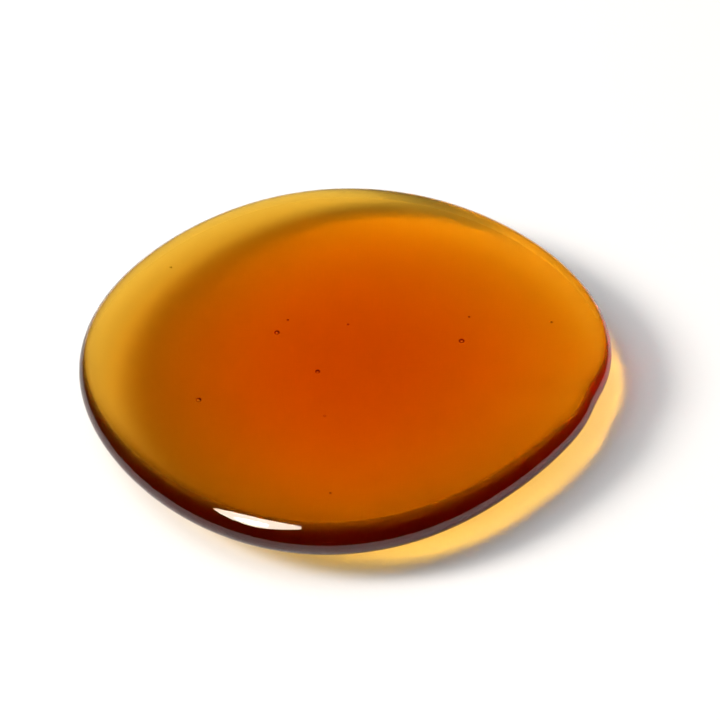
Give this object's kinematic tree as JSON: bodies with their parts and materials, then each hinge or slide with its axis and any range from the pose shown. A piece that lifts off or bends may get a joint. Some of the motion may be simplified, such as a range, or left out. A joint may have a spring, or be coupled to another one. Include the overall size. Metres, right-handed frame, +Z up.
{
  "type": "bow rosin cake",
  "caption": "Free-poured translucent amber rosin cake for a bow: a low rounded lens of clear resin with small trapped air bubbles.",
  "frame": {"origin": "on the surface the cake rests on, under the middle of its box", "axes": "+Z up through the cake's thickness, its flat foot facing -Z; +X and +Y across the cake, with -Y the front"},
  "size_m": [0.0501, 0.052, 0.0057],
  "materials": {
    "amber_resin": "clear deep-amber cast resin, glossy free-poured skin",
    "trapped_air": "clear, air sealed in the resin"
  },
  "bodies": {
    "root": {"rosin_cake": "amber_resin", "air_bubble_1": "trapped_air", "air_bubble_2": "trapped_air", "air_bubble_3": "trapped_air", "air_bubble_4": "trapped_air", "pinhole_bubbles": "trapped_air"}
  },
  "joints": []
}
